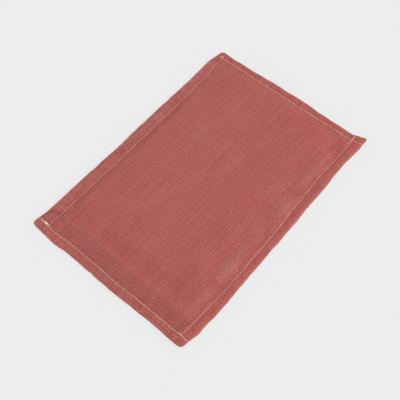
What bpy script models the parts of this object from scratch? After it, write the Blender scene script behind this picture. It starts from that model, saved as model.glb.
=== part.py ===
"""Fire blanket: two woven glass cloths with their edges turned in over a felt core, lockstitched along
all four sides. The blanket folds in half across its length, so it is built as two halves.

Frame: metres, +Z up, the blanket lies flat on z = 0 with its length along X and its centre on the origin.
"""

import math

import bmesh
import bpy
from mathutils import Vector

# Overall outline
LENGTH = 0.300
WIDTH = 0.204
CORNER_RADIUS = 0.004

# Layers
CLOTH = 0.0005
LAYER_GAP = 0.0003
FELT_IN_FIELD = 0.0048
FELT_IN_HEM = 0.0020
FELT_IN_SEAM = 0.0006
FOLD_SLIT = 0.0008

# Hems: distance from the outer edge to the seam, width of the turned-in cloth, edge of the felt
HEM_LONG = 0.0105
HEM_SHORT = 0.009
ALLOWANCE = 0.026
FELT_INSET = 0.0025
FIELD_RISE = 0.016
GROOVE_HALF_WIDTH = 0.003

# Threads
THREAD = 0.0005
THREAD_GAP = 0.0003
FLOOR_CLEARANCE = 0.0001
SEAM_END_INSET = 0.0016
BACKTACK_LENGTH = 0.005
CROSSING_SPAN = 0.0024

# Centre fold
FOLD_GAP = 0.0003
FOLD_AXIS_CLEARANCE = 0.0002

# Mesh fineness
CORNER_STEPS = 5
TURN_STEPS = 6
SLOPE_STEPS = 5
THREAD_STEP = 0.0012
INNER_CORNER_RADIUS = 0.0008

# What follows from the sizes above
PITCH = CLOTH + LAYER_GAP
TURN_RADIUS = PITCH / 2
TURN_CENTRE = TURN_RADIUS + CLOTH / 2
SEAM_LIFT = THREAD + THREAD_GAP + FLOOR_CLEARANCE
SEAM_TOP = SEAM_LIFT + 4 * PITCH + FELT_IN_SEAM
HEM_TOP = 4 * PITCH + FELT_IN_HEM
EDGE_TOP = 2 * (2 * CLOTH + LAYER_GAP) + FOLD_SLIT
FIELD_TOP = 2 * PITCH + FELT_IN_FIELD
HEM_CROWN = HEM_LONG / 2
FIELD_EDGE = HEM_LONG + FIELD_RISE

SIDES = {"left": -1, "right": 1}


def ease(low, high, share):
    """A height that leaves low steeply and flattens out at high."""
    return low + (high - low) * math.sin(math.pi / 2 * min(max(share, 0.0), 1.0))


def top_height(inset):
    """The height of the upper surface at a distance in from the edge."""
    if inset < HEM_CROWN:
        return ease(EDGE_TOP, HEM_TOP, (inset - TURN_CENTRE) / (HEM_CROWN - TURN_CENTRE))
    if inset < HEM_LONG:
        return ease(SEAM_TOP, HEM_TOP, (HEM_LONG - inset) / (HEM_LONG - HEM_CROWN))
    return ease(SEAM_TOP, FIELD_TOP, (inset - HEM_LONG) / FIELD_RISE)


def under_height(inset):
    """The height of the lower surface: flat, and drawn up into a groove along the seam."""
    away = min(abs(inset - HEM_LONG) / GROOVE_HALF_WIDTH, 1.0)
    return SEAM_LIFT * math.cos(math.pi / 2 * away) ** 2


def insets_between(first, last):
    """Distances in from the edge, closer together where the surfaces slope."""
    stops = [TURN_CENTRE, FELT_INSET, HEM_CROWN, HEM_LONG - GROOVE_HALF_WIDTH, HEM_LONG]
    stops += [HEM_LONG + GROOVE_HALF_WIDTH, FIELD_EDGE]
    steps = sorted({first, last, *(stop for stop in stops if first < stop < last)})
    found = []
    for low, high in zip(steps, steps[1:]):
        count = max(1, min(SLOPE_STEPS, round((high - low) / THREAD_STEP)))
        found += [low + (high - low) * i / count for i in range(count)]
    return found + [last]


def shifted(path, distance):
    """A section path moved up by a distance, measured square to each stretch. Its ends keep their insets."""
    normals = [Vector((a.y - b.y, b.x - a.x)).normalized() for a, b in zip(path, path[1:])]
    moved = [path[0] + Vector((0.0, distance / normals[0].y))]
    for point, before, after in zip(path[1:], normals, normals[1:]):
        moved.append(point + (before + after) * distance / (1 + before.dot(after)))
    return moved + [path[-1] + Vector((0.0, distance / normals[-1].y))]


def surface_path(height, first, last):
    return [Vector((inset, height(inset))) for inset in insets_between(first, last)]


def short_side_inset(inset):
    """The distance in from a short edge of what lies at this distance in from a long edge."""
    if inset <= TURN_CENTRE:
        return inset
    if inset >= HEM_LONG:
        return inset - HEM_LONG + HEM_SHORT
    share = (inset - TURN_CENTRE) / (HEM_LONG - TURN_CENTRE)
    return TURN_CENTRE + share * (HEM_SHORT - TURN_CENTRE)


def ring(bm, inset, height):
    """The corners of a rectangle with round corners, this far in from the outline."""
    radius = max(CORNER_RADIUS - inset, INNER_CORNER_RADIUS)
    x = LENGTH / 2 - short_side_inset(inset) - radius
    y = WIDTH / 2 - inset - radius
    corners = ((x, y), (-x, y), (-x, -y), (x, -y))
    verts = []
    for quarter, (cx, cy) in enumerate(corners):
        for step in range(CORNER_STEPS + 1):
            angle = math.pi / 2 * (quarter + step / CORNER_STEPS)
            place = (cx + radius * math.cos(angle), cy + radius * math.sin(angle), height)
            verts.append(bm.verts.new(place))
    return verts


def lofted(path, closed):
    """A surface through one ring for each point of a section path, filled inside its first ring."""
    bm = bmesh.new()
    rings = [ring(bm, point.x, point.y) for point in path]
    for one, other in zip(rings, rings[1:]):
        for i in range(len(one)):
            bm.faces.new((one[i - 1], one[i], other[i], other[i - 1]))
    bm.faces.new(rings[0])
    if closed:
        bm.faces.new(rings[-1])
    return bm


def keep_half(bm, side):
    """Cuts the shape at the centre fold and keeps one half. Returns the cut's edges."""
    cut = bmesh.ops.bisect_plane(
        bm,
        geom=bm.verts[:] + bm.edges[:] + bm.faces[:],
        plane_co=(side * FOLD_GAP / 2, 0.0, 0.0),
        plane_no=(side, 0.0, 0.0),
        clear_inner=True,
    )
    return [item for item in cut["geom_cut"] if isinstance(item, bmesh.types.BMEdge)]


def material(name, colour, roughness):
    made = bpy.data.materials.new(name)
    made.use_nodes = True
    shader = made.node_tree.nodes["Principled BSDF"]
    shader.inputs["Base Color"].default_value = (*colour, 1.0)
    shader.inputs["Roughness"].default_value = roughness
    shader.inputs["Metallic"].default_value = 0.0
    return made


def place(name, data, colour, half):
    obj = bpy.data.objects.new(name, data)
    blanket.objects.link(obj)
    obj.data.materials.append(colour)
    obj.parent = half
    obj.matrix_parent_inverse = half.matrix_world.inverted()
    return obj


def mesh_from(bm, name, smooth):
    bmesh.ops.recalc_face_normals(bm, faces=bm.faces[:])
    data = bpy.data.meshes.new(name)
    bm.to_mesh(data)
    bm.free()
    if smooth:
        data.shade_smooth()
    return data


def cloth(name, height, turn, side, colour, half):
    """One cloth of one half. Its surface runs out to the edge, round the fold and back in as the allowance.
    turn is -1 where the edge turns down under the cloth, and 1 where it turns up over it."""
    outer = surface_path(height, TURN_CENTRE, FIELD_EDGE)
    main = shifted(outer, turn * CLOTH / 2)
    turned = surface_path(height, TURN_CENTRE, ALLOWANCE)
    inner = shifted(turned, turn * (CLOTH / 2 + PITCH))
    centre = (main[0] + inner[0]) / 2
    radius = abs(main[0].y - inner[0].y) / 2
    bend = []
    for step in range(1, TURN_STEPS):
        angle = math.pi * step / TURN_STEPS
        bend.append(centre + Vector((-math.sin(angle) * TURN_RADIUS, -turn * math.cos(angle) * radius)))
    bm = lofted(main[::-1] + bend + inner, closed=False)
    keep_half(bm, side)
    obj = place(name, mesh_from(bm, name, smooth=True), colour, half)
    shell = obj.modifiers.new("Cloth thickness", "SOLIDIFY")
    shell.thickness = CLOTH
    shell.offset = 0.0
    shell.use_even_offset = True
    return obj


def felt(name, side, colour, half):
    """The felt of one half, pressed thin under the seams and the turned-in cloth."""
    step = ALLOWANCE + LAYER_GAP
    field = max(FIELD_EDGE, step + LAYER_GAP)
    under_field = shifted(surface_path(under_height, step, field), PITCH)
    under_hem = shifted(surface_path(under_height, FELT_INSET, step), 2 * PITCH)
    over_hem = shifted(surface_path(top_height, FELT_INSET, step), -2 * PITCH)
    over_field = shifted(surface_path(top_height, step, field), -PITCH)
    bm = lofted(under_field[::-1] + under_hem[::-1] + over_hem + over_field, closed=True)
    cut = keep_half(bm, side)
    bmesh.ops.contextual_create(bm, geom=cut)
    bmesh.ops.triangulate(bm, faces=bm.faces[:])
    return place(name, mesh_from(bm, name, smooth=False), colour, half)


def inset_at(x, y):
    """How far in from the outline a point is, as a distance from a long edge."""
    from_short = LENGTH / 2 - abs(x)
    if from_short >= HEM_SHORT:
        as_long = from_short - HEM_SHORT + HEM_LONG
    else:
        share = (from_short - TURN_CENTRE) / (HEM_SHORT - TURN_CENTRE)
        as_long = TURN_CENTRE + share * (HEM_LONG - TURN_CENTRE)
    return min(as_long, WIDTH / 2 - abs(y))


def thread(name, plan, height, colour, half):
    """One thread along plan points, at the height that a function gives above each."""
    curve = bpy.data.curves.new(name, "CURVE")
    curve.dimensions = "3D"
    curve.bevel_depth = THREAD / 2
    curve.bevel_resolution = 2
    curve.use_fill_caps = True
    line = curve.splines.new("POLY")
    line.points.add(len(plan) - 1)
    for point, (x, y) in zip(line.points, plan):
        point.co = (x, y, height(x, y), 1.0)
    return place(name, curve, colour, half)


def walk(start, end):
    """Points along a straight line, one every thread step."""
    start, end = Vector(start), Vector(end)
    count = max(1, round((end - start).length / THREAD_STEP))
    return [start.lerp(end, i / count) for i in range(count + 1)]


def seam_end(crossing, tip):
    """Plan points of a seam's last stitches: over the other seam and out to the edge, then back beside
    itself, and out again."""
    crossing, tip = Vector(crossing), Vector(tip)
    along = (tip - crossing).normalized()
    beside = Vector((-along.y, along.x)) * (THREAD + THREAD_GAP)
    start = crossing - along * CROSSING_SPAN
    back = tip - along * BACKTACK_LENGTH
    bulge = along * (THREAD + THREAD_GAP) / 2
    return (
        walk(start, crossing)[:-1]
        + walk(crossing, tip)
        + [tip + beside / 2 + bulge]
        + walk(tip + beside, back + beside)
        + [back + beside * 1.5 - bulge]
        + walk(back + beside * 2, tip + beside * 2)
    )


def on_top(x, y):
    return top_height(inset_at(x, y)) + THREAD_GAP + THREAD / 2


def over_crossing(x, y):
    """As on_top, and lifted over the short side's thread where the two seams cross."""
    away = abs(abs(x) - (LENGTH / 2 - HEM_SHORT)) / CROSSING_SPAN
    hump = (THREAD + THREAD_GAP) * math.cos(math.pi / 2 * min(away, 1.0)) ** 2
    return on_top(x, y) + hump


def underneath(x, y):
    return SEAM_LIFT - THREAD_GAP - THREAD / 2


def build_half(word, side, half):
    """Every piece of one half."""
    cloth("face_cloth_" + word, top_height, -1, side, RED_FACE, half)
    cloth("back_cloth_" + word, under_height, 1, side, RED_BACK, half)
    felt("felt_core_" + word, side, FELT, half)

    seam_x = side * (LENGTH / 2 - HEM_SHORT)
    seam_y = WIDTH / 2 - HEM_LONG
    edge_y = WIDTH / 2 - SEAM_END_INSET
    edge_x = side * (LENGTH / 2 - SEAM_END_INSET)
    fold_x = side * FOLD_GAP / 2
    clear = THREAD + THREAD_GAP

    lower_end = seam_end((seam_x, -seam_y), (seam_x, -edge_y))
    upper_end = seam_end((seam_x, seam_y), (seam_x, edge_y))
    thread("needle_thread_end_" + word, lower_end[::-1] + upper_end, on_top, THREAD_TOP, half)
    under_plan = [(seam_x, -seam_y + clear), (seam_x, seam_y - clear)]
    thread("bobbin_thread_end_" + word, under_plan, underneath, THREAD_UNDER, half)

    for edge, up in (("front", -1), ("rear", 1)):
        plan = [Vector((fold_x, up * seam_y))]
        plan += seam_end((seam_x, up * seam_y), (edge_x, up * seam_y))
        thread(f"needle_thread_{edge}_{word}", plan, over_crossing, THREAD_TOP, half)
        under_plan = [(fold_x, up * seam_y), (seam_x, up * seam_y)]
        thread(f"bobbin_thread_{edge}_{word}", under_plan, underneath, THREAD_UNDER, half)


for old in list(bpy.data.objects):
    bpy.data.objects.remove(old, do_unlink=True)

blanket = bpy.data.collections.new("Fire blanket")
bpy.context.scene.collection.children.link(blanket)

RED_FACE = material("Red glass cloth, face", (0.43, 0.115, 0.10), 0.75)
RED_BACK = material("Red glass cloth, back", (0.40, 0.105, 0.09), 0.8)
FELT = material("Felt core", (0.55, 0.52, 0.47), 0.95)
THREAD_TOP = material("Needle thread", (0.82, 0.72, 0.64), 0.6)
THREAD_UNDER = material("Bobbin thread", (0.80, 0.70, 0.62), 0.6)

for word, side in SIDES.items():
    half = bpy.data.objects.new("half_" + word, None)
    half.location = (0.0, 0.0, FIELD_TOP + FOLD_AXIS_CLEARANCE)
    blanket.objects.link(half)
    bpy.context.view_layer.update()
    build_half(word, side, half)
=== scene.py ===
import math

import bpy
import numpy as np
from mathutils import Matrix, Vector, noise
from mathutils.bvhtree import BVHTree


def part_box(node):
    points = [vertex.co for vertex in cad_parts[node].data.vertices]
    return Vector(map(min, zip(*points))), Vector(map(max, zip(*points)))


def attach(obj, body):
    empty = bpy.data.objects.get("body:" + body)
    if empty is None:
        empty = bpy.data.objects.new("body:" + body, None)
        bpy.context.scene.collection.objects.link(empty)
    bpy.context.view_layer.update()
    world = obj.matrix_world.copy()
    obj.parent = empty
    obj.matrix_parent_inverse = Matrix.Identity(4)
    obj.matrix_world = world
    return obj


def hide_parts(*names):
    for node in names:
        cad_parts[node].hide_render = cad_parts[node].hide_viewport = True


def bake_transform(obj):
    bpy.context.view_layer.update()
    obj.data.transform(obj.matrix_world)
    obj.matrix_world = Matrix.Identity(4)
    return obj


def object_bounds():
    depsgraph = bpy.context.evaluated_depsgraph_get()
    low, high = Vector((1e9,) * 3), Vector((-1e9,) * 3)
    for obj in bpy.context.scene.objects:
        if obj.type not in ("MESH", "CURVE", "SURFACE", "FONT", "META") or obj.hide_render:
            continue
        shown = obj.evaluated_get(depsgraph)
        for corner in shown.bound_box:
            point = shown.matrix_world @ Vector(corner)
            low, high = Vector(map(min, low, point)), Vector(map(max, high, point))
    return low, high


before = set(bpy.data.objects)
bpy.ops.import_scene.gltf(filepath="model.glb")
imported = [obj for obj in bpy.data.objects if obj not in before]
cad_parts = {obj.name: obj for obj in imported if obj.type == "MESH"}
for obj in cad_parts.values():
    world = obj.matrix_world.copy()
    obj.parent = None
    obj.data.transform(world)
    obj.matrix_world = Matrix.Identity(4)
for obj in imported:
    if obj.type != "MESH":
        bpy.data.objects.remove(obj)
cad_low, cad_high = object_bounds()

# Camera. It stands in front of the blanket's near left corner and looks down at it at about 59 degrees,
# turned so that the long sides run up to the right.
camera = bpy.data.objects.new("camera", bpy.data.cameras.new("camera"))
bpy.context.scene.collection.objects.link(camera)
camera.location = (-0.2547, -0.2617, 0.5775)
camera.rotation_euler = [math.radians(turn) for turn in (30.586, 3.222, -48.680)]
camera.data.lens = 58.0
camera.data.sensor_width = 36.0
camera.data.clip_start = 0.01
bpy.context.scene.camera = camera

# Studio floor, backdrop and light. The pale floor glows a little, as a light table does, so that no hard
# shadow falls on it, and a low wall of the same finish stands far off all round. The surround is an even
# white, and a broad soft lamp shines from the side of the front hem.
bpy.context.scene.view_settings.view_transform = "Standard"
FLOOR_SIZE = 12.0
FLOOR_DROP = 0.0002
FLOOR_GLOW = 0.705
WALL_RADIUS = 5.8
WALL_HEIGHT = 1.7
SURROUND_STRENGTH = 0.484
LAMP_STRENGTH = 2.03
LAMP_SPREAD = 40
LAMP_WAY = (-0.35, 1.0, -0.80)
bpy.ops.mesh.primitive_plane_add(size=FLOOR_SIZE, location=(0.0, 0.0, cad_low[2] - FLOOR_DROP))
floor = bpy.context.object
floor.name = "studio_floor"
floor_paint = bpy.data.materials.new("pale_floor")
floor_paint.use_nodes = True
floor_shader = floor_paint.node_tree.nodes["Principled BSDF"]
floor_shader.inputs["Base Color"].default_value = (0.15, 0.15, 0.15, 1.0)
floor_shader.inputs["Roughness"].default_value = 1.0
floor_shader.inputs["Specular IOR Level"].default_value = 0.0
floor_shader.inputs["Emission Color"].default_value = (1.0, 1.0, 1.0, 1.0)
floor_shader.inputs["Emission Strength"].default_value = FLOOR_GLOW
floor.data.materials.append(floor_paint)

bpy.ops.mesh.primitive_cylinder_add(
    vertices=96, radius=WALL_RADIUS, depth=WALL_HEIGHT, end_fill_type="NOTHING",
    location=(0.0, 0.0, WALL_HEIGHT / 2 - FLOOR_DROP),
)
backdrop = bpy.context.object
backdrop.name = "studio_backdrop"
backdrop.data.materials.append(floor_paint)
backdrop.data.shade_smooth()

surround = bpy.data.worlds.new("studio")
surround.use_nodes = True
surround.node_tree.nodes["Background"].inputs["Color"].default_value = (1.0, 1.0, 1.0, 1.0)
surround.node_tree.nodes["Background"].inputs["Strength"].default_value = SURROUND_STRENGTH
bpy.context.scene.world = surround

key_lamp = bpy.data.objects.new("key_softbox", bpy.data.lights.new("key_softbox", "SUN"))
bpy.context.scene.collection.objects.link(key_lamp)
key_lamp.data.angle = math.radians(LAMP_SPREAD)
key_lamp.data.energy = LAMP_STRENGTH
key_lamp.rotation_euler = Vector(LAMP_WAY).to_track_quat("-Z", "Y").to_euler()

# The back cloth: one rectangle of woven glass cloth, dyed brick red, lying face down. Its four edges
# are turned up and in, and the seams draw it into a shallow groove all round.
MM = 0.001
CLOTH = 0.5 * MM
TURN = 0.4 * MM          # radius of the fold at the middle of the cloth
LAYER = 0.8 * MM         # from one layer of cloth to the next
GROOVE = 1.3 * MM        # half width of the groove that the stitches press in
CAD_THREAD_RADIUS = 0.25 * MM
SEAM_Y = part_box("bobbin_thread_rear_left")[0][1] + CAD_THREAD_RADIUS
SEAM_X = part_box("bobbin_thread_end_right")[0][0] + CAD_THREAD_RADIUS
FIELD_TOP = cad_high[2]
HEM_TOP = 4.15 * MM
EDGE_TOP = 3.3 * MM      # height at the outer fold
EDGE_ROUND = 8.0 * MM    # how far in the hem takes to reach its height
SEAM_DIP = 0.25 * MM     # how deep the stitches press the face in
UNDER_LIFT = 0.6 * MM    # how far they lift the underside
HEM_DIP_RATIO = 6.0      # how much wider the dip is on the hem's side of the seam

# Each side's edge and seam stray from straight. A pair is a share of the way along the side, from -1
# to 1, and how far out the line lies there, in millimetres. rise is how far in the face is full height.
SIDES = {
    "rear": dict(
        axis=1, way=1, edge=cad_high[1], seam=SEAM_Y, run=cad_high[0], rise=50.0 * MM,
        edge_line=((-1.0, 1.4), (-0.85, -0.9), (-0.6, -0.1), (-0.2, -0.3), (0.1, 1.1), (0.45, 1.7),
                   (0.65, 2.2), (0.85, 3.4), (1.0, 1.2)),
        seam_line=((-1.0, -4.0), (-0.87, -4.6), (-0.5, -3.9), (0.0, -3.0), (0.24, -1.4), (0.5, -1.2),
                   (0.74, 1.0), (0.86, 2.9), (1.0, 4.2)),
    ),
    "front": dict(
        axis=1, way=-1, edge=cad_high[1], seam=SEAM_Y, run=cad_high[0], rise=42.0 * MM,
        edge_line=((-1.0, 1.3), (-0.85, 4.1), (-0.65, 5.1), (-0.4, 3.9), (-0.1, 3.0), (0.15, 2.4),
                   (0.3, 1.0), (0.42, 1.2), (0.7, -0.7), (0.85, 0.3), (1.0, 0.3)),
        seam_line=((-1.0, 0.4), (-0.95, 3.6), (-0.85, 5.0), (-0.5, 6.5), (-0.2, 5.5), (0.0, 4.2),
                   (0.25, 2.0), (0.5, -0.1), (0.6, -0.5), (0.73, 0.5), (0.85, 0.1), (1.0, -1.9)),
    ),
    "left": dict(
        axis=0, way=-1, edge=cad_high[0], seam=SEAM_X, run=cad_high[1], rise=19.0 * MM,
        edge_line=((-1.0, 0.3), (-0.75, -0.1), (-0.4, 0.5), (-0.14, 1.4), (0.5, 1.7), (0.74, 3.1),
                   (1.0, 2.1)),
        seam_line=((-1.0, 0.2), (-0.7, 0.8), (-0.4, 1.1), (-0.14, 2.0), (0.24, 1.5), (0.5, 1.6),
                   (0.75, 3.1), (1.0, 1.6)),
    ),
    "right": dict(
        axis=0, way=1, edge=cad_high[0], seam=SEAM_X, run=cad_high[1], rise=22.0 * MM,
        edge_line=((-1.0, 1.7), (-0.94, -0.4), (-0.86, -2.8), (-0.7, -2.6), (-0.46, -1.6),
                   (-0.3, -0.1), (0.2, 1.1), (0.5, 0.4), (0.8, 1.0), (1.0, 1.9)),
        seam_line=((-1.0, 0.2), (-0.87, -2.0), (-0.5, -1.5), (0.0, -0.5), (0.25, 0.4), (0.75, 1.2),
                   (1.0, 1.9)),
    ),
}


def stray(stations, share):
    """How far out a line lies at each share of its side, eased from station to station."""
    at, out = np.array(stations).T
    k = np.clip(np.searchsorted(at, share) - 1, 0, len(at) - 2)
    t = np.clip((share - at[k]) / (at[k + 1] - at[k]), 0, 1)
    return (out[k] + (out[k + 1] - out[k]) * t * t * (3 - 2 * t)) * MM


def waves(x, y, scale, seed):
    """Smooth noise from -1 to 1 over the cloth, at points in metres and a scale in metres."""
    points = zip(np.ravel(x) / scale[0], np.ravel(y) / scale[1])
    return np.array([noise.noise((a, b, seed)) for a, b in points]).reshape(np.shape(x))


def edge_of(side, along):
    """How far out from the blanket's middle a side's outer edge is, at a place along it."""
    s = SIDES[side]
    along = np.asarray(along, float)
    # The hem goes half a millimetre in and out every centimetre or so, with finer ripples on top.
    ripple = 0.50 * waves(along, along * 0, (0.011, 1.0), s["edge"] * 90 + s["way"])
    ripple += 0.28 * waves(along, along * 0, (0.0045, 1.0), s["edge"] * 170 + s["way"])
    return s["edge"] + stray(s["edge_line"], along / s["run"]) + ripple * MM


def seam_of(side, along):
    """How far out from the blanket's middle a side's seam is, at a place along it."""
    s = SIDES[side]
    return s["seam"] + stray(s["seam_line"], along / s["run"])


def insets(x, y):
    """For each side, how far in from its edge and from its seam each point is."""
    found = {}
    for side, s in SIDES.items():
        along, out = (x, y * s["way"]) if s["axis"] else (y, x * s["way"])
        found[side] = (edge_of(side, along) - out, seam_of(side, along) - out)
    return found


def seam_dips(x, y, half_width):
    """1 on a seam, falling to 0 on either side of it."""
    left = 1.0
    for _, from_seam in insets(x, y).values():
        wide = np.where(from_seam < 0, HEM_DIP_RATIO * half_width, half_width)
        left = left * (1 - np.exp(-((from_seam / wide) ** 2)))
    return 1 - left


def top_of(x, y):
    """The height of the finished face, before the cloth's own waves."""
    rounding, rise = 1.0, 1.0
    for side, (from_edge, from_seam) in insets(x, y).items():
        share = np.clip(from_edge / EDGE_ROUND, 0, 1)
        rounding = rounding * (1 - (1 - share) ** 2)
        rise = rise * np.sin(math.pi / 2 * np.clip(from_seam / SIDES[side]["rise"], 0, 1))
    dips = SEAM_DIP * seam_dips(x, y, GROOVE)
    return EDGE_TOP + (HEM_TOP - EDGE_TOP - dips) * rounding + (FIELD_TOP - HEM_TOP) * rise


def under_of(x, y):
    """The height of the underside."""
    return cad_low[2] + UNDER_LIFT * seam_dips(x, y, GROOVE)


CORNER_POWER = 5.0       # higher is squarer


def spread(seam, edge, hem_count, count):
    """Places of grid lines across the blanket: close in the hems, even in the field between the seams."""
    hem = np.linspace(edge, seam, hem_count + 1)
    return np.concatenate([-hem, np.linspace(-seam, seam, count - 2 * hem_count + 1)[1:-1], hem[::-1]])


def lay_sheet(name, inset, hem_count=8, field_step=1.6 * MM):
    """A grid laid out to the blanket's outline, this far inside it, with grid lines along the seams."""
    columns = 2 * hem_count + round(2 * SEAM_X / field_step)
    rows = 2 * hem_count + round(2 * SEAM_Y / field_step)
    bpy.ops.object.select_all(action="DESELECT")
    bpy.ops.mesh.primitive_grid_add(x_subdivisions=columns, y_subdivisions=rows, size=2.0)
    obj = bpy.context.object
    obj.name = name
    co = np.empty(len(obj.data.vertices) * 3)
    obj.data.vertices.foreach_get("co", co)
    co = co.reshape(-1, 3)
    i = np.rint((co[:, 0] + 1) / 2 * columns).astype(int)
    j = np.rint((co[:, 1] + 1) / 2 * rows).astype(int)
    nominal_x = spread(SEAM_X, cad_high[0], hem_count, columns)[i]
    nominal_y = spread(SEAM_Y, cad_high[1], hem_count, rows)[j]

    def across(index, count, along, low, high):
        low_edge, low_seam = -edge_of(low, along) + inset, -seam_of(low, along)
        high_edge, high_seam = edge_of(high, along) - inset, seam_of(high, along)
        low_hem = np.clip(index / hem_count, 0, 1)
        high_hem = np.clip((count - index) / hem_count, 0, 1)
        middle = np.clip((index - hem_count) / (count - 2 * hem_count), 0, 1)
        place = low_seam + (high_seam - low_seam) * middle
        place += (low_edge - low_seam) * (1 - low_hem) + (high_edge - high_seam) * (1 - high_hem)
        return place, low_hem, high_hem

    x, left_hem, right_hem = across(i, columns, nominal_y, "left", "right")
    y, front_hem, rear_hem = across(j, rows, nominal_x, "front", "rear")
    # Three corners are rounded. The one at the right of the front stays pointed.
    for hem_x, hem_y, way_x, way_y in (
        (left_hem, rear_hem, -1, 1), (left_hem, front_hem, -1, -1), (right_hem, rear_hem, 1, 1)
    ):
        a, b = 1 - hem_x, 1 - hem_y
        both = (a > 0) & (b > 0)
        norm = (a ** CORNER_POWER + b ** CORNER_POWER) ** (1 / CORNER_POWER)
        shrink = np.where(both, np.maximum(a, b) / np.maximum(norm, 1e-9), 1.0)
        hem_width_x = np.abs(edge_of("left" if way_x < 0 else "right", y)) - SEAM_X
        hem_width_y = np.abs(edge_of("rear" if way_y > 0 else "front", x)) - SEAM_Y
        x = x - way_x * a * (1 - shrink) * hem_width_x
        y = y - way_y * b * (1 - shrink) * hem_width_y
    co[:, 0], co[:, 1] = x, y
    return obj, co


TURN_STEPS = 5
ALLOWANCE = 26.0 * MM    # how far the turned-in cloth reaches in
ALLOWANCE_STEPS = 7


def turn_edges(obj, height, turn):
    """Extrudes the sheet's outer edge round the fold and back in as the turned-in cloth, and gives the
    sheet a map of where each point was on the flat cloth. turn is -1 for an edge that turns down."""
    sheet = obj.data
    count = len(sheet.vertices)
    co = np.empty(count * 3)
    sheet.vertices.foreach_get("co", co)
    co = co.reshape(-1, 3)
    flat = co[:, :2].copy()
    bpy.ops.object.mode_set(mode="EDIT")
    bpy.ops.mesh.select_mode(type="EDGE")
    bpy.ops.mesh.select_all(action="SELECT")
    bpy.ops.mesh.region_to_loop()
    bpy.ops.object.mode_set(mode="OBJECT")
    chosen = np.empty(count, bool)
    sheet.vertices.foreach_get("select", chosen)
    rim = np.flatnonzero(chosen)
    order = rim[np.argsort(np.arctan2(flat[rim, 1] / cad_high[1], flat[rim, 0] / cad_high[0]))]
    step = np.roll(flat[order], -1, axis=0) - np.roll(flat[order], 1, axis=0)
    out = np.stack([step[:, 1], -step[:, 0]], 1)
    outward = np.zeros((count, 2))
    outward[order] = out / np.linalg.norm(out, axis=1)[:, None]
    half = np.array([cad_high[0], cad_high[1]])
    base = co[rim]
    last = base
    for ring in range(1, TURN_STEPS + ALLOWANCE_STEPS + 1):
        bpy.ops.object.mode_set(mode="EDIT")
        bpy.ops.mesh.extrude_region_move()
        bpy.ops.object.mode_set(mode="OBJECT")
        total = len(sheet.vertices)
        chosen = np.empty(total, bool)
        sheet.vertices.foreach_get("select", chosen)
        new = np.flatnonzero(chosen)
        places = np.empty(total * 3)
        sheet.vertices.foreach_get("co", places)
        places = places.reshape(-1, 3)
        source = [int(np.argmin(((last - p) ** 2).sum(1))) for p in places[new]]
        at, away = base[source].copy(), outward[rim][source]
        if ring <= TURN_STEPS:
            angle = math.pi * ring / TURN_STEPS
            reach = TURN * math.sin(angle)
            length = TURN * angle
            places[new, :2] = at[:, :2] + away * reach
            places[new, 2] = at[:, 2] + turn * TURN * (1 - math.cos(angle))
        else:
            back = ALLOWANCE * (ring - TURN_STEPS) / ALLOWANCE_STEPS
            length = TURN * math.pi + back
            places[new, :2] = at[:, :2] * (1 - back / half)
            deep = height(places[new, 0], places[new, 1])
            places[new, 2] = deep + turn * (LAYER + CLOTH / 2)
        sheet.vertices.foreach_set("co", places.ravel())
        flat = np.concatenate([flat, np.zeros((total - len(flat), 2))])
        flat[new] = at[:, :2] + away * length
        last = np.empty_like(base)
        last[source] = places[new]
    sheet.update()
    corner = np.empty(len(sheet.loops), int)
    sheet.loops.foreach_get("vertex_index", corner)
    uv = sheet.uv_layers.active or sheet.uv_layers.new(name="flat_cloth")
    uv.name = "flat_cloth"
    uv.data.foreach_set("uv", flat[corner].ravel())


def thicken(obj):
    """Gives a sheet its thickness, smooth all over, and leaves its place in its mesh."""
    shell = obj.modifiers.new("thickness", "SOLIDIFY")
    shell.thickness = CLOTH
    shell.offset = 0.0
    bpy.context.view_layer.objects.active = obj
    bpy.ops.object.modifier_apply(modifier=shell.name)
    obj.data.shade_smooth()


class Link:
    """An output of a material's nodes. Sums on it add Math nodes, and node() adds any other kind."""

    def __init__(self, tree, socket=None):
        self.tree, self.socket = tree, socket

    def node(self, kind, settings=None, inputs=None, out=0):
        made = self.tree.nodes.new(kind)
        for name, value in (settings or {}).items():
            if name == "stops":
                for stop, (position, colour) in zip(made.color_ramp.elements, value):
                    stop.position, stop.color = position, colour
                for position, colour in value[2:]:
                    made.color_ramp.elements.new(position).color = colour
            else:
                setattr(made, name, value)
        for key, value in (inputs or {}).items():
            if isinstance(value, Link):
                self.tree.links.new(value.socket, made.inputs[key])
            else:
                made.inputs[key].default_value = value
        return Link(self.tree, made.outputs[out])

    def beside(self, name):
        return Link(self.tree, self.socket.node.outputs[name])

    def math(self, operation, *terms, clamp=False):
        settings = {"operation": operation, "use_clamp": clamp}
        return self.node("ShaderNodeMath", settings, dict(enumerate(terms)))

    def __add__(self, other):
        return self.math("ADD", self, other)

    def __sub__(self, other):
        return self.math("SUBTRACT", self, other)

    def __rsub__(self, other):
        return self.math("SUBTRACT", other, self)

    def __mul__(self, other):
        return self.math("MULTIPLY", self, other)

    def __truediv__(self, other):
        return self.math("DIVIDE", self, other)

    def __pow__(self, other):
        return self.math("POWER", self, other)

    def __mod__(self, other):
        return self.math("FLOORED_MODULO", self, other)

    def __gt__(self, other):
        return self.math("GREATER_THAN", self, other)

    def floor(self):
        return self.math("FLOOR", self)

    def cos(self):
        return self.math("COSINE", self)

    def above(self, other):
        return self.math("MAXIMUM", self, other)

    __radd__ = __add__
    __rmul__ = __mul__


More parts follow.
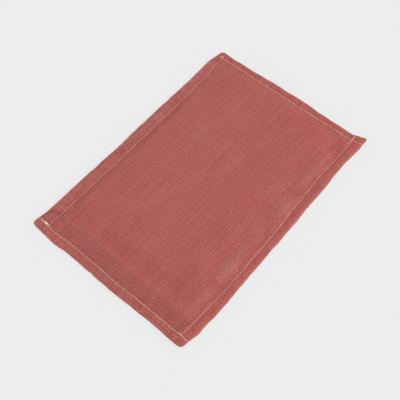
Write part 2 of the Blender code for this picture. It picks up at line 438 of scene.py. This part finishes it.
def patches(place, stretch, detail=2.0):
    """Smooth noise from 0 to 1 whose patches have these lengths, in metres, along the two ways."""
    inverse = (1 / stretch[0], 1 / stretch[1], 1.0)
    scaled = place.node("ShaderNodeVectorMath", {"operation": "MULTIPLY"}, {0: place, 1: inverse})
    settings = {"Vector": scaled, "Scale": 1.0, "Detail": detail}
    return scaled.node("ShaderNodeTexNoise", {"noise_dimensions": "2D"}, settings)


YARN = 0.905 * MM        # from one yarn to the next
DEPTH_OF_DYE = 0.145
SHARE_GREYED = 0.25
# The greyed cloth's colours: a gap in painted shade, the pink dye, and a paler top.
GREY_SHADED_GAP = (0.35, 0.072, 0.063, 1.0)
GREY_PINK = (0.47, 0.165, 0.148, 1.0)
GREY_TOP = (0.63, 0.38, 0.355, 1.0)


def glass_cloth(name, shaded_gap, dye, worn, fuzz):
    """Two-and-two twill of twisted glass yarn, dyed red. Long yarns are uneven, every fourth cross yarn
    is a thick one, and the tops of the yarns are paler than the gaps between them: painted shade in the
    gaps and painted light on the tops, which are also worn. The three colours are those of a shaded gap,
    of sound dye and of a worn and lit top, and fuzz is how much loose fibre stands up."""
    paint = bpy.data.materials.new(name)
    paint.use_nodes = True
    shader = paint.node_tree.nodes["Principled BSDF"]
    start = Link(paint.node_tree)
    place = start.node("ShaderNodeUVMap", {"uv_map": "flat_cloth"})
    drift = start.node("ShaderNodeTexNoise", {"noise_dimensions": "2D"}, {
        "Vector": place, "Scale": 60.0, "Detail": 1.0,
    }, out="Color")
    wavy = start.node("ShaderNodeVectorMath", {"operation": "MULTIPLY_ADD"}, {
        0: drift, 1: (0.7 * MM, 0.7 * MM, 0.0), 2: place,
    })
    along = start.node("ShaderNodeSeparateXYZ", None, {0: wavy})
    a, b = along / YARN, along.beside("Y") / YARN
    row, column = b.floor(), a.floor()
    thick = 1 - ((column % 4.0) > 0.5)
    quarter = math.pi / 2
    long_yarn = (1 - ((b - row) * 2 - 1) ** 2) * 0.6 + ((a - 1 + row) * quarter).cos() * 0.4
    cross_yarn = (1 - ((a - column) * 2 - 1) ** 2) * 0.6 - ((b - 1 + column) * quarter).cos() * 0.4
    cross_yarn = cross_yarn + thick * 0.3
    over = long_yarn > cross_yarn
    height = long_yarn.above(cross_yarn)
    slub = patches(place, (70 * MM, 1.15 * MM), 2.0)
    cross_slub = patches(place, (1.9 * MM, 30 * MM))
    fibre = patches(place, (0.5 * MM, 0.07 * MM))
    fibre = fibre + (1 - over) * (patches(place, (0.07 * MM, 0.5 * MM)) - fibre)
    cloud = patches(place, (34 * MM, 24 * MM), 1.0)
    speck = patches(place, (1.5 * MM, 1.1 * MM), 2.0)
    # These two attributes carry wear and dust, and on the face cloth also painted light and shade.
    fade = start.node("ShaderNodeAttribute", {"attribute_name": "fade"}, out="Fac")
    dust = start.node("ShaderNodeAttribute", {"attribute_name": "dust"}, out="Fac")
    # The yarns' height sets the tone: painted shade in the gaps between yarns, painted light on their tops.
    tone = DEPTH_OF_DYE + height * 0.30 + over * 0.06 + thick * 0.05 + fade
    tone = tone + (slub - 0.5) * 0.38 + (cross_slub - 0.5) * 0.14 + (fibre - 0.5) * 0.3
    tone = tone + (cloud - 0.5) * 0.12 + (speck - 0.5) * 0.98
    dyed = start.node("ShaderNodeValToRGB", {"stops": ((0.0, shaded_gap), (1.0, worn), (0.5, dye))}, {0: tone})
    grey_stops = ((0.0, GREY_SHADED_GAP), (1.0, GREY_TOP), (0.5, GREY_PINK))
    grey = start.node("ShaderNodeValToRGB", {"stops": grey_stops}, {0: tone})
    greyed = SHARE_GREYED + dust + (patches(place, (110 * MM, 1.6 * MM), 3.0) - 0.5) * 0.7
    greyed = greyed + (patches(place, (1.2 * MM, 0.9 * MM), 1.0) - 0.5) * 1.6
    colour = start.node("ShaderNodeMix", {"data_type": "RGBA"}, {
        "Factor": greyed.math("MULTIPLY", greyed, 1.0, clamp=True), 6: dyed, 7: grey,
    }, out=2)
    paint.node_tree.links.new(colour.socket, shader.inputs["Base Color"])
    rough = 0.62 + (1 - height) * 0.2 + (fibre - 0.5) * 0.2
    paint.node_tree.links.new(rough.socket, shader.inputs["Roughness"])
    bump = start.node("ShaderNodeBump", None, {
        "Strength": 1.0,
        "Distance": 0.16 * MM,
        "Height": height + (fibre - 0.5) * 0.35 + (slub - 0.5) * 0.8,
    })
    paint.node_tree.links.new(bump.socket, shader.inputs["Normal"])
    shader.inputs["Specular IOR Level"].default_value = 0.35
    shader.inputs["Sheen Weight"].default_value = fuzz
    shader.inputs["Sheen Roughness"].default_value = 0.45
    shader.inputs["Sheen Tint"].default_value = (1.0, 0.72, 0.68, 1.0)
    return paint


def keep(obj, name, value_at):
    """Stores a value on each point of a cloth, from its place, for the dye to read."""
    co = np.empty(len(obj.data.vertices) * 3)
    obj.data.vertices.foreach_get("co", co)
    values = value_at(*co.reshape(-1, 3).T)
    obj.data.attributes.new(name, "FLOAT", "POINT").data.foreach_set("value", values.astype(np.float32))


def face_outward(obj):
    """Turns every face of a closed piece to point out of it."""
    bpy.ops.object.mode_set(mode="EDIT")
    bpy.ops.mesh.select_all(action="SELECT")
    bpy.ops.mesh.normals_make_consistent(inside=False)
    bpy.ops.object.mode_set(mode="OBJECT")


back_cloth, co = lay_sheet("back_cloth", TURN + CLOTH / 2)
co[:, 2] = under_of(co[:, 0], co[:, 1]) + CLOTH / 2
back_cloth.data.vertices.foreach_set("co", co.ravel())
turn_edges(back_cloth, under_of, 1)
thicken(back_cloth)
face_outward(back_cloth)
keep(back_cloth, "fade", lambda x, y, z: 0.06 * waves(x, y, (0.05, 0.05), 3.0))
keep(back_cloth, "dust", lambda x, y, z: 0.10 * waves(x, y, (0.06, 0.04), 8.0))
back_cloth.data.materials.append(glass_cloth(
    "back_glass_cloth",
    shaded_gap=(0.27, 0.037, 0.033, 1.0), dye=(0.50, 0.098, 0.082, 1.0), worn=(0.62, 0.24, 0.21, 1.0), fuzz=0.15,
))
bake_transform(back_cloth)
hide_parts("back_cloth_left", "back_cloth_right")

# The face cloth: a second rectangle of the same cloth, laid over the felt with its edges turned down and
# in. The felt swells it between the seams, and the stitches pull the hems into soft uneven puffs.
PUCKER_REACH = 5.0 * MM
PUCKER_PITCH = 4.6 * MM


def gathers(along, from_seam, seed, pitch):
    """Little crosswise puckers that the stitches pull on both sides of a seam."""
    wave = np.array([noise.noise((a / pitch, f / (5 * pitch), seed)) for a, f in zip(along, from_seam / 4)])
    return wave * np.exp(-((np.abs(from_seam) / PUCKER_REACH) ** 1.5))


# Places where the face stands up or sinks: the middle in millimetres, the half lengths
# along and across, the turn in degrees, and how far it rises.
SWELLS = (
    (-105, -84, 22, 5, 2, 0.9), (-56, -86, 26, 4.5, -1, 0.8), (26, -84, 14, 5, 3, 0.9),
    (78, -81, 24, 5, 2, 0.9), (-84, -85, 4, 9, 12, -0.7), (-8, -86, 8, 8, -10, -0.7),
    (47, -83, 5, 9, 15, -0.8), (118, -82, 8, 8, -20, -0.7), (-132, -86, 7, 7, 40, -0.9),
    (-134, -73.5, 4, 5, 20, -0.5), (-128, 94, 8.5, 1.9, -58, -1.2), (-133, 92, 4, 6, 35, 0.4),
    (-128, 80, 9, 6, -20, -0.5), (120, -78, 9, 7, 60, -0.8), (132, -88, 8, 5, 30, 0.4),
    (130, 84, 12, 6, 10, -0.4),
    (-118, -20, 5, 60, 0, -0.35), (-127, -40, 4, 50, 0, 0.35), (-122, 40, 6, 40, 0, -0.3),
    (-60, 86, 60, 3.5, 0, -0.6), (60, 88, 70, 3.5, 1, -0.5), (0, 20, 3.0, 75, 1, -0.05),
    (-30, 10, 60, 30, 15, 0.35), (60, -20, 50, 32, -12, 0.35), (-90, 10, 18, 60, 4, -0.25),
    (20, 60, 70, 14, 4, 0.3), (100, 40, 22, 46, -8, 0.25),
)


def relief(x, y):
    """How far the worn face stands off its even shape, in metres."""
    found = insets(x, y)
    rounding, inside = np.ones_like(x), np.ones_like(x)
    for from_edge, from_seam in found.values():
        rounding = rounding * np.clip(from_edge / EDGE_ROUND, 0, 1)
        inside = inside * np.clip(from_seam / (6 * MM), 0, 1)
    field = 0.32 * waves(x, y, (0.045, 0.038), 1.7) + 0.22 * waves(x, y, (0.016, 0.011), 5.3)
    out = inside * (field + 0.07 * waves(x, y, (0.026, 0.0035), 9.1))
    out += (1 - inside) * 0.42 * waves(x, y, (0.017, 0.015), 7.9)
    out += (1 - inside) * 0.20 * waves(x, y, (0.007, 0.007), 2.2)
    for number, (side, (from_edge, from_seam)) in enumerate(found.items()):
        way = x if SIDES[side]["axis"] else y
        out += 0.5 * gathers(way, from_seam, 11.0 + number, PUCKER_PITCH)
        turned_end = ALLOWANCE + 1.5 * MM * waves(x, y, (0.02, 0.02), 3.1)
        ridge = np.exp(-(((from_edge - turned_end) / (2.0 * MM)) ** 2))
        out += 0.1 * ridge * inside
    for middle_x, middle_y, half_long, half_wide, turn, rise in SWELLS:
        dx, dy = x / MM - middle_x, y / MM - middle_y
        c, s = math.cos(math.radians(turn)), math.sin(math.radians(turn))
        along, across = (dx * c + dy * s) / half_long, (dy * c - dx * s) / half_wide
        out += rise * np.exp(-(along ** 2 + across ** 2))
    return out * MM * rounding


SETTLE_STEPS = 14
SETTLE_PRESSURE = 0.4
SETTLE_CAP = 0.7 * MM


def settle():
    """Lays a coarser cloth over the felt, a little too large, holds it along the seams and lets it buckle.
    Gives back a surface whose height at each place is how far the cloth rose or sank there."""
    trial, co = lay_sheet("trial_cloth", TURN + CLOTH / 2, hem_count=4, field_step=2.8 * MM)
    x, y = co[:, 0], co[:, 1]
    co[:, 2] = top_of(x, y) + relief(x, y)
    trial.data.vertices.foreach_set("co", co.ravel())
    found = insets(x, y)
    near_seam = np.minimum.reduce([np.abs(from_seam) for _, from_seam in found.values()])
    near_edge = np.minimum.reduce([from_edge for from_edge, _ in found.values()])
    held = np.maximum(near_seam < 0.6 * MM, near_edge < 1.5 * MM)
    group = trial.vertex_groups.new(name="held")
    group.add(np.flatnonzero(held).tolist(), 1.0, "REPLACE")
    cloth = trial.modifiers.new("settle", "CLOTH")
    cloth.settings.vertex_group_mass = "held"
    cloth.settings.quality = 6
    cloth.settings.mass = 0.3
    cloth.settings.tension_stiffness = 12.0
    cloth.settings.compression_stiffness = 12.0
    cloth.settings.shear_stiffness = 5.0
    cloth.settings.bending_stiffness = 0.05
    cloth.settings.shrink_min = -0.035
    cloth.settings.use_pressure = True
    cloth.settings.uniform_pressure_force = SETTLE_PRESSURE
    cloth.settings.effector_weights.gravity = 0.0
    cloth.collision_settings.use_collision = False
    scene = bpy.context.scene
    for step in range(1, SETTLE_STEPS + 1):
        scene.frame_set(step)
    settled = trial.evaluated_get(bpy.context.evaluated_depsgraph_get()).data
    moved = np.empty(len(co) * 3)
    settled.vertices.foreach_get("co", moved)
    rise = moved.reshape(-1, 3)[:, 2] - co[:, 2]
    # The buckles count most near the seams, where the stitches hold the cloth back.
    held_close = np.exp(-((near_seam / (11 * MM)) ** 2))
    rise = SETTLE_CAP * np.tanh(rise / SETTLE_CAP) * (0.16 + 0.7 * held_close)
    faces = [tuple(p.vertices) for p in trial.data.polygons]
    points = [(a, b, c) for a, b, c in zip(x, y, rise)]
    surface = BVHTree.FromPolygons(points, faces)
    scene.frame_set(1)
    bpy.data.objects.remove(trial)
    return surface


def settled_rise(x, y):
    """How far the settled cloth rose at each place, in metres, and nothing outside its outline."""
    if settled_surface is None:
        return np.zeros_like(x)
    down, out = Vector((0.0, 0.0, -1.0)), []
    for px, py in zip(np.ravel(x), np.ravel(y)):
        hit = settled_surface.ray_cast(Vector((px, py, 0.1)), down)[0]
        out.append(hit.z if hit else 0.0)
    return np.array(out).reshape(np.shape(x))


settled_surface = settle()


def face_top(x, y):
    """The height of the finished face, with its waves."""
    return top_of(x, y) + relief(x, y) + settled_rise(x, y)


face_cloth, co = lay_sheet("face_cloth", TURN + CLOTH / 2)
co[:, 2] = face_top(co[:, 0], co[:, 1]) - CLOTH / 2
face_cloth.data.vertices.foreach_set("co", co.ravel())
turn_edges(face_cloth, face_top, -1)
thicken(face_cloth)
face_outward(face_cloth)

# Patches of colour: painted light and shade over some of the face's swells and dips, and paler and
# greyer patches of the cloth elsewhere. The middle and half lengths in millimetres, the turn in
# degrees, how much paler, and how much greyer.
STAINS_AND_PAINTED_LIGHT = (
    (-112, 0, 9, 70, 2, -0.08, 0.0), (-108, -60, 14, 22, 20, -0.03, 0.0),
    # Painted shade in the pucker fold at the far left corner and in the dimple at the near left corner.
    (-128, 94, 8, 1.7, -58, -0.3, 0.0), (-134, -73.5, 4, 5, 20, -0.14, 0.0),
    # Painted sheen on the four swells just inside the front seam, and painted shade in the dips between
    # them, at -84, -10, 47 and 118 mm along.
    (-105, -83, 22, 6, 2, 0.0, 0.15), (-56, -85, 24, 6.5, -1, 0.05, 0.34),
    (27, -84, 15, 6.5, 3, 0.03, 0.34), (77, -81, 22, 6, 2, -0.03, 0.32),
    (-84, -84, 4, 8, 12, -0.04, -0.12), (-10, -84, 7, 9, -10, 0.01, -0.05),
    (15, -62, 5, 24, 22, 0.0, -0.14), (8, -45, 8, 12, 30, 0.0, -0.12),
    (47, -82, 4, 9, 15, -0.05, -0.15), (118, -50, 18, 34, 5, 0.0, -0.16),
    (124, -10, 12, 30, 0, 0.0, -0.1), (118, -81, 6, 5.5, -20, -0.12, -0.2),
    (125, 50, 14, 30, 0, 0.0, -0.10), (137, 40, 4, 60, 0, 0.0, -0.04),
    (40, 12, 22, 34, -28, 0.0, 0.10), (52, -40, 14, 26, 6, -0.02, 0.14),
    (20, 50, 60, 26, 0, 0.0, 0.06), (-60, 30, 50, 34, 10, -0.01, 0.04),
    (0, 86, 150, 5, 0, -0.07, 0.10), (-100, -64, 16, 12, 15, -0.04, 0.05),
    (-50, -46, 60, 14, 0, 0.0, -0.08),
)
PALER, GREYER = 5, 6     # the columns of STAINS_AND_PAINTED_LIGHT


def stained_and_painted_light(x, y, column):
    """How strong the stains and the painted light and shade of one column are at each place."""
    out = np.zeros_like(x)
    for stain in STAINS_AND_PAINTED_LIGHT:
        middle_x, middle_y, half_long, half_wide, turn = stain[:5]
        dx, dy = x / MM - middle_x, y / MM - middle_y
        c, s = math.cos(math.radians(turn)), math.sin(math.radians(turn))
        along, across = (dx * c + dy * s) / half_long, (dy * c - dx * s) / half_wide
        out += stain[column] * np.exp(-(along ** 2 + across ** 2) ** 1.5)
    return out


def left_band_shade_and_sheen(x, y):
    """The band of doubled cloth between the left seam and the turned-in edge, which ends a little
    unevenly. It carries painted shade and painted grey sheen.
    """
    found = insets(x, y)
    turned_end = ALLOWANCE + 1.2 * MM * waves(x, y, (0.02, 0.012), 2.9) + 1.5 * MM
    band = np.clip((turned_end - found["left"][0]) / (2.5 * MM), 0, 1)
    band = band * np.clip(found["left"][1] / (2 * MM), 0, 1) * np.clip(found["front"][1] / (5 * MM), 0, 1)
    return band * (0.85 + 0.35 * waves(x, y, (0.03, 0.004), 8.2))


def hem_share(found, side):
    """1 on a side's hem and 0 in the field."""
    return np.clip(-found[side][1] / (2 * MM), 0, 1)


def shade_beside_rear_seam(found):
    """1 on a line just outside the rear seam, falling to 0 on either side of it, where painted shade goes.
    """
    line, width = 2.6 * MM, 2.4 * MM
    return np.exp(-(((found["rear"][1] + line) / width) ** 2))


def face_fade_and_painted_light(x, y, z):
    """Paler on the outer fold, a painted highlight, and deeper close beside the stitches, painted shade;
    painted shade also on a line just outside the rear seam and in the band inside the left seam.
    The hems' doubled cloth is flecked.
    """
    found = insets(x, y)
    pale, seam = 0.0, 0.0
    for side, (from_edge, from_seam) in found.items():
        # The 0.12 on the outer fold is a painted highlight.
        pale = pale + 0.12 * np.exp(-((from_edge / (1.4 * MM)) ** 2)) - 0.035 * hem_share(found, side)
        # seam is 1 close beside the stitches, where the cloth is painted darker: painted shade.
        seam = seam + np.exp(-(((from_seam - 1.2 * MM) / (2.0 * MM)) ** 2))
    # The rear hem is a little paler, and a line just outside the rear seam is darkened: painted shade.
    pale = pale + 0.05 * hem_share(found, "rear") - 0.13 * shade_beside_rear_seam(found)
    pale = pale + 0.17 * hem_share(found, "rear") * waves(x, y, (0.0027, 0.007), 12.4)
    pale = pale + 0.10 * hem_share(found, "left") * waves(x, y, (0.007, 0.0027), 13.4)
    # The band inside the left seam is darkened: painted shade.
    even = pale - 0.05 * np.clip(seam, 0, 1) - 0.155 * left_band_shade_and_sheen(x, y)
    return even + stained_and_painted_light(x, y, PALER) + 0.03 * waves(x, y, (0.03, 0.02), 4.4)


def face_dust_and_painted_light(x, y, z):
    """Greyer in the band inside the left seam and along the rear hem, as painted sheen; greyer on a
    line just outside the rear seam, as painted shade; and greyer along the left hem.
    """
    found = insets(x, y)
    # The rear hem is greyed: painted sheen, uneven along its length.
    rear_hem = hem_share(found, "rear") * (0.22 + 0.3 * waves(x, y, (0.022, 0.006), 6.6))
    left_hem = 0.20 * hem_share(found, "left")
    # Greyer on a line just outside the rear seam: painted shade.
    beside = 0.10 * shade_beside_rear_seam(found)
    # The band inside the left seam is greyed: painted sheen.
    return stained_and_painted_light(x, y, GREYER) + 0.41 * left_band_shade_and_sheen(x, y) + rear_hem + left_hem + beside


keep(face_cloth, "fade", face_fade_and_painted_light)
keep(face_cloth, "dust", face_dust_and_painted_light)
face_cloth.data.materials.append(glass_cloth(
    "face_glass_cloth",
    shaded_gap=(0.35, 0.044, 0.039, 1.0), dye=(0.525, 0.111, 0.0915, 1.0), worn=(0.66, 0.27, 0.235, 1.0), fuzz=0.2,
))
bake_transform(face_cloth)
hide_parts("face_cloth_left", "face_cloth_right")

# The felt core: a slab of needled glass felt laid between the two cloths, cut short of their folded edges.
# It is 4 to 5 mm thick in the field, and the seams crush it to under a millimetre.
FELT_INSET = 3.4 * MM
CLEAR = 0.3 * MM         # room between the felt and the cloth
LEAST_FELT = 0.2 * MM


def layers_over(x, y):
    """How much cloth lies between the felt and the outside: one layer, and two where it is turned in."""
    nearest = np.minimum.reduce([from_edge for from_edge, _ in insets(x, y).values()])
    step = np.clip((ALLOWANCE + 2 * MM - nearest) / (1.5 * MM), 0, 1)
    return CLOTH + CLEAR + LAYER * step


felt_core, co = lay_sheet("felt_core", FELT_INSET, hem_count=4, field_step=3.2 * MM)
x, y = co[:, 0], co[:, 1]
co[:, 2] = under_of(x, y) + layers_over(x, y)
felt_core.data.vertices.foreach_set("co", co.ravel())
bpy.ops.object.mode_set(mode="EDIT")
bpy.ops.mesh.select_all(action="SELECT")
bpy.ops.mesh.extrude_region_move(TRANSFORM_OT_translate={"value": (0.0, 0.0, 1.0 * MM)})
bpy.ops.object.mode_set(mode="OBJECT")
co = np.empty(len(felt_core.data.vertices) * 3)
felt_core.data.vertices.foreach_get("co", co)
co = co.reshape(-1, 3)
upper = np.empty(len(co), bool)
felt_core.data.vertices.foreach_get("select", upper)
x, y = co[upper, 0], co[upper, 1]
felt_under = under_of(x, y) + layers_over(x, y)
co[upper, 2] = np.maximum(face_top(x, y) - layers_over(x, y), felt_under + LEAST_FELT)
felt_core.data.vertices.foreach_set("co", co.ravel())
face_outward(felt_core)
felt_core.data.shade_smooth()

felt_paint = bpy.data.materials.new("needled_glass_felt")
felt_paint.use_nodes = True
felt_shader = felt_paint.node_tree.nodes["Principled BSDF"]
start = Link(felt_paint.node_tree)
place = start.node("ShaderNodeTexCoord", None, None, out="Object")
hairs = start.node("ShaderNodeTexNoise", None, {
    "Vector": place, "Scale": 900.0, "Detail": 6.0, "Roughness": 0.7, "Distortion": 2.5,
})
punches = start.node("ShaderNodeTexVoronoi", {"feature": "F1"}, {
    "Vector": place, "Scale": 420.0,
}, out="Distance")
tufts = hairs * 0.7 + (1 - (punches > 0.22)) * -0.3 + 0.3
colour = start.node("ShaderNodeValToRGB", {"stops": (
    (0.0, (0.46, 0.43, 0.36, 1.0)), (1.0, (0.86, 0.84, 0.76, 1.0)),
)}, {0: tufts})
felt_paint.node_tree.links.new(colour.socket, felt_shader.inputs["Base Color"])
bump = start.node("ShaderNodeBump", None, {"Strength": 0.8, "Distance": 0.3 * MM, "Height": tufts})
felt_paint.node_tree.links.new(bump.socket, felt_shader.inputs["Normal"])
felt_shader.inputs["Roughness"].default_value = 0.95
felt_core.data.materials.append(felt_paint)
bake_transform(felt_core)
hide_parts("felt_core_left", "felt_core_right")

# The needle threads: pale cotton-coloured glass thread, one row of lockstitch along each side, seen on
# the face as short stitches lying in the groove. At the corners two rows cross and run out to the edge.
STITCH_RINGS = 7
STITCH_START = 0.02      # the share of its pitch before a stitch comes up
STITCH_LENGTH = 0.96     # the share that shows


def one_stitch(name):
    """A stitch of unit pitch along X and unit radius: a six-sided rod in short lengths."""
    bpy.ops.object.select_all(action="DESELECT")
    bpy.ops.mesh.primitive_circle_add(
        vertices=6, radius=1.0, fill_type="NGON", location=(STITCH_START, 0.0, 0.0),
        rotation=(0.0, math.pi / 2, 0.0),
    )
    obj = bpy.context.object
    obj.name = name
    bpy.ops.object.transform_apply(location=True, rotation=True, scale=True)
    bpy.ops.object.mode_set(mode="EDIT")
    bpy.ops.mesh.select_all(action="SELECT")
    ring_step = (STITCH_LENGTH / STITCH_RINGS, 0.0, 0.0)
    for _ in range(STITCH_RINGS):
        bpy.ops.mesh.extrude_region_move(TRANSFORM_OT_translate={"value": ring_step})
    bpy.ops.object.mode_set(mode="OBJECT")
    face_outward(obj)
    return obj


def sew(name, stitches, surface, way):
    """Copies one stitch to each place, a pair of ends with a radius, and lays it on the cloth.
    way is 1 on the face and -1 underneath."""
    obj = one_stitch(name)
    row = obj.modifiers.new("row", "ARRAY")
    row.count = len(stitches)
    row.use_relative_offset = False
    row.use_constant_offset = True
    row.constant_offset_displace = (1.0, 0.0, 0.0)
    bpy.context.view_layer.objects.active = obj
    bpy.ops.object.modifier_apply(modifier=row.name)
    mesh = obj.data
    co = np.empty(len(mesh.vertices) * 3)
    mesh.vertices.foreach_get("co", co)
    co = co.reshape(-1, 3)
    k = np.floor(co[:, 0]).astype(int)
    s = co[:, 0] - k
    ends = np.array([(*a, *b) for a, b, _ in stitches])[k]
    radius = np.array([r for _, _, r in stitches])[k]
    step = ends[:, 2:] - ends[:, :2]
    length = np.linalg.norm(step, axis=1)
    across = np.stack([-step[:, 1], step[:, 0]], 1) / length[:, None]
    centre = ends[:, :2] + step * s[:, None]
    sink = radius * (0.75 - 1.6 * np.abs(2 * s - 1) ** 6)
    thick = radius * (1 - 0.25 * np.abs(2 * s - 1) ** 3)
    lying = np.array([height_on(surface, px, py, way) for px, py in centre])
    angle = np.arctan2(co[:, 2], co[:, 1])
    uv = mesh.uv_layers.active or mesh.uv_layers.new(name="thread")
    uv.name = "thread"
    corner = np.empty(len(mesh.loops), int)
    mesh.loops.foreach_get("vertex_index", corner)
    turn = angle[corner]
    begins = np.array([p.loop_start for p in mesh.polygons])
    highest = np.repeat(np.maximum.reduceat(turn, begins), np.diff(np.append(begins, len(turn))))
    turn = np.where(highest - turn > math.pi, turn + 2 * math.pi, turn)
    uv.data.foreach_set("uv", np.stack([(co[:, 0] * length)[corner], turn], 1).ravel())
    placed = np.empty_like(co)
    placed[:, :2] = centre + across * (co[:, 1] * thick)[:, None]
    placed[:, 2] = lying + way * (sink + co[:, 2] * thick)
    mesh.vertices.foreach_set("co", placed.ravel())
    mesh.update()
    if way < 0:
        face_outward(obj)
    mesh.shade_smooth()
    return obj


def height_on(surface, x, y, way):
    """The height of a cloth's outer side at a place, or just inside its edge if the place is past it."""
    for reach in (1.0, 0.99, 0.98, 0.97):
        hit = surface.ray_cast(Vector((x * reach, y * reach, 0.1 * way)), Vector((0.0, 0.0, -way)))[0]
        if hit:
            return hit.z
    return EDGE_TOP if way > 0 else 0.0


def seam_place(side, along, off):
    """The place on a seam's line, at this distance along its side and this far off the line."""
    s = SIDES[side]
    out = float(seam_of(side, np.array(along))) + off
    return (along, out * s["way"]) if s["axis"] else (out * s["way"], along)


def seam_row(side, first, last, pitch, seed, radius):
    """A row of stitches from one end to the other, each a little off the line and off its length."""
    count = round((last - first) / pitch)
    marks = np.linspace(first, last, count + 1)
    marks[1:-1] += [0.05 * pitch * noise.noise((k * 1.7, seed, 0.3)) for k in range(1, count)]
    offs = [0.28 * MM * noise.noise((k * 0.9, seed, 6.1)) for k in range(count + 1)]
    row = []
    for k in range(count):
        start, end = seam_place(side, marks[k], offs[k]), seam_place(side, marks[k + 1], offs[k + 1])
        row.append((start, end, radius * (1 + 0.18 * noise.noise((k * 1.3, seed, 2.5)))))
    return row


face_surface = BVHTree.FromObject(face_cloth, bpy.context.evaluated_depsgraph_get())
back_surface = BVHTree.FromObject(back_cloth, bpy.context.evaluated_depsgraph_get())
# Where each row starts and ends, the length of its stitches, its seed, and its thread's radius.
ROWS = {
    "rear": (-150 * MM, 147 * MM, 4.8 * MM, 1.0, 0.155 * MM),
    "front": (-146.5 * MM, 146.4 * MM, 4.0 * MM, 2.0, 0.175 * MM),
    "left": (-104 * MM, 102 * MM, 5.3 * MM, 3.0, 0.27 * MM),
    "right": (-102 * MM, 102.5 * MM, 5.6 * MM, 4.0, 0.31 * MM),
}


def near(x, y, end_x, end_y, radius):
    """One extra stitch between two places given in millimetres."""
    return ((x * MM, y * MM), (end_x * MM, end_y * MM), radius)


# The dense backtack at the far left corner, and the short ends where the rows cross at the others.
EXTRA = {
    "left": [
        near(-143.4, 89.4, -143.0, 95.0, 0.85 * MM), near(-142.2, 88.6, -142.4, 94.4, 0.85 * MM),
        near(-143.6, 92.0, -142.4, 96.6, 0.60 * MM), near(-142.9, 93.0, -142.9, 98.2, 0.52 * MM),
        near(-142.5, 94.8, -142.8, 99.4, 0.38 * MM), near(-142.0, 91.6, -140.3, 93.2, 0.24 * MM),
        near(-142.6, 97.2, -140.9, 98.8, 0.22 * MM), near(-142.3, 85.6, -142.7, 90.2, 0.40 * MM),
        near(-146.0, -92.8, -147.4, -91.5, 0.20 * MM), near(-141.8, -98.0, -142.6, -102.6, 0.17 * MM),
        near(-140.6, -91.6, -141.0, -96.0, 0.36 * MM),
    ],
    "right": [
        near(141.9, 96.8, 145.6, 96.7, 0.44 * MM), near(143.9, 94.6, 143.6, 98.6, 0.44 * MM),
        near(135.0, -91.0, 140.0, -90.6, 0.34 * MM), near(139.4, -90.7, 143.6, -90.1, 0.42 * MM),
        near(143.2, -90.1, 146.4, -89.6, 0.32 * MM),
    ],
}


UNDERSIDE_SEED = 20      # added to a row's seed, so that its bobbin thread strays in its own way


def lay_row(side, group, way, surface):
    """Sews one side's row with the needle or the bobbin thread, in place of the CAD's plain threads."""
    first, last, pitch, seed, radius = ROWS[side]
    stitches = seam_row(side, first, last, pitch, seed + (0 if way > 0 else UNDERSIDE_SEED), radius)
    if way > 0:
        stitches += EXTRA.get(side, [])
    obj = sew(f"{group}_thread_{side}", stitches, surface, way)
    obj.data.materials.append(thread_paint)
    if side in ("left", "right"):
        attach(obj, f"{side}_half")
        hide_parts(f"{group}_thread_end_{side}")
    else:
        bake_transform(obj)
        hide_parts(f"{group}_thread_{side}_left", f"{group}_thread_{side}_right")


thread_paint = bpy.data.materials.new("cream_sewing_thread")
thread_paint.use_nodes = True
thread_shader = thread_paint.node_tree.nodes["Principled BSDF"]
start = Link(thread_paint.node_tree)
place = start.node("ShaderNodeUVMap", {"uv_map": "thread"})
parts = start.node("ShaderNodeSeparateXYZ", None, {0: place})
PLY_PITCH = 0.9 * MM
plies = (parts * (2 * math.pi / PLY_PITCH) + parts.beside("Y") * 2).cos() * 0.5 + 0.5
soil = patches(place, (9 * MM, 9.0))
# The grooves between the plies come out darker: painted shade. The soil patches are dirt on the thread.
tone = plies * 0.5 + soil * 0.6 - 0.05
colour = start.node("ShaderNodeValToRGB", {"stops": (
    (0.0, (0.58, 0.33, 0.25, 1.0)), (1.0, (0.93, 0.80, 0.70, 1.0)), (0.45, (0.78, 0.56, 0.46, 1.0)),
)}, {0: tone})
thread_paint.node_tree.links.new(colour.socket, thread_shader.inputs["Base Color"])
bump = start.node("ShaderNodeBump", None, {"Strength": 0.7, "Distance": 0.06 * MM, "Height": plies})
thread_paint.node_tree.links.new(bump.socket, thread_shader.inputs["Normal"])
thread_shader.inputs["Roughness"].default_value = 0.6
for side in ROWS:
    lay_row(side, "needle", 1, face_surface)

# The bobbin threads: the lower threads of the same four seams, of the same cream thread. Each is locked
# round its needle thread at every stitch, and lies in the groove on the underside.
for side in ROWS:
    lay_row(side, "bobbin", -1, back_surface)
